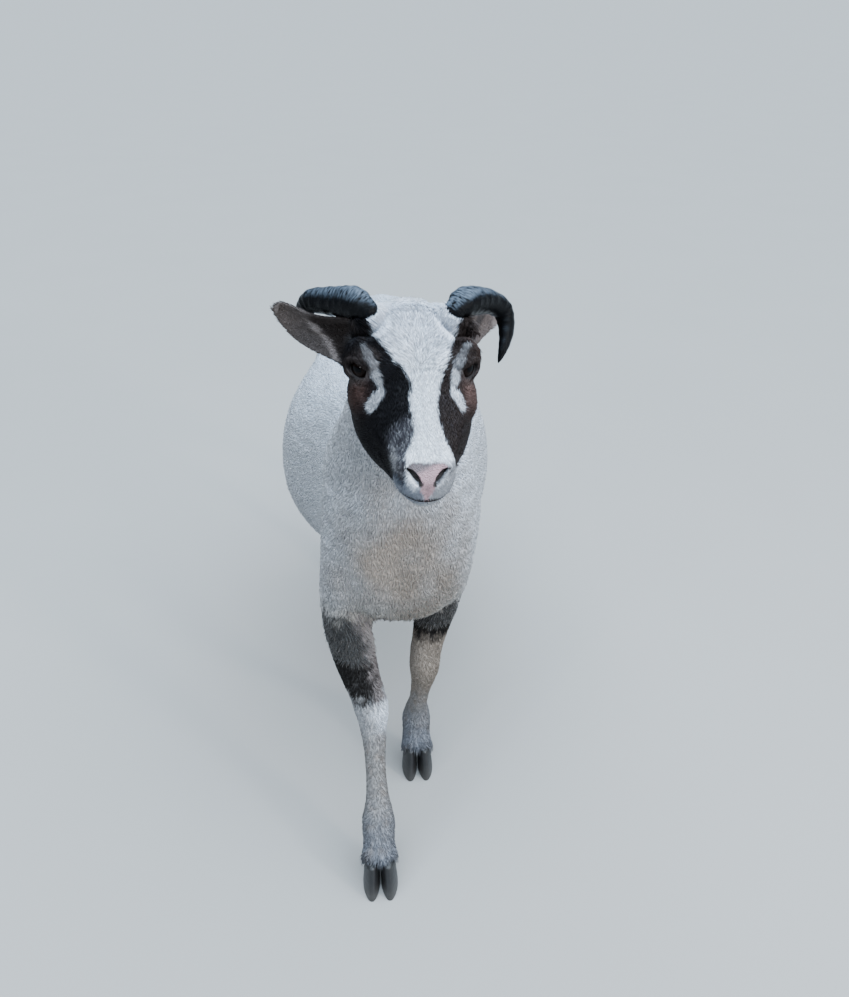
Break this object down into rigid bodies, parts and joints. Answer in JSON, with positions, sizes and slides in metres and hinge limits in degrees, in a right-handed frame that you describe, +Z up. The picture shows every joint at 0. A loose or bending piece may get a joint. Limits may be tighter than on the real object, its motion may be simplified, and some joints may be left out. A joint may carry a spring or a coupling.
{
  "type": "shetland sheep, walking, shorn",
  "caption": "Life-size walking Shetland ewe with short clipped wool, curled black horns, a white blaze between dark cheeks and cloven hooves.",
  "frame": {"origin": "on the floor, under the middle of the bounding box", "axes": "-Y the way the sheep walks and looks, +X her left side, +Z up"},
  "size_m": [0.3152, 0.9108, 0.7548],
  "materials": {
    "shorn_wool": "short cream-white clipped wool, matt",
    "face_hair": "short dark brown hair with a white blaze",
    "leg_hair": "short grey-brown and white hair",
    "horn": "black ringed horn, satin",
    "hoof": "black hoof horn, dull",
    "eye": "wet dark brown"
  },
  "bodies": {
    "root": {"torso": "shorn_wool", "neck": "shorn_wool", "head": "face_hair", "tail": "shorn_wool", "ear_left": "face_hair", "ear_right": "face_hair", "horn_left": "horn", "horn_right": "horn", "eye_left": "eye", "eye_right": "eye", "fore_leg_left_upper": "leg_hair", "fore_leg_left_lower": "leg_hair", "fore_leg_left_claw_inner": "hoof", "fore_leg_left_claw_outer": "hoof", "fore_leg_right_upper": "leg_hair", "fore_leg_right_lower": "leg_hair", "fore_leg_right_claw_inner": "hoof", "fore_leg_right_claw_outer": "hoof", "hind_leg_left_upper": "leg_hair", "hind_leg_left_lower": "leg_hair", "hind_leg_left_claw_inner": "hoof", "hind_leg_left_claw_outer": "hoof", "hind_leg_right_upper": "leg_hair", "hind_leg_right_lower": "leg_hair", "hind_leg_right_claw_inner": "hoof", "hind_leg_right_claw_outer": "hoof"}
  },
  "joints": []
}
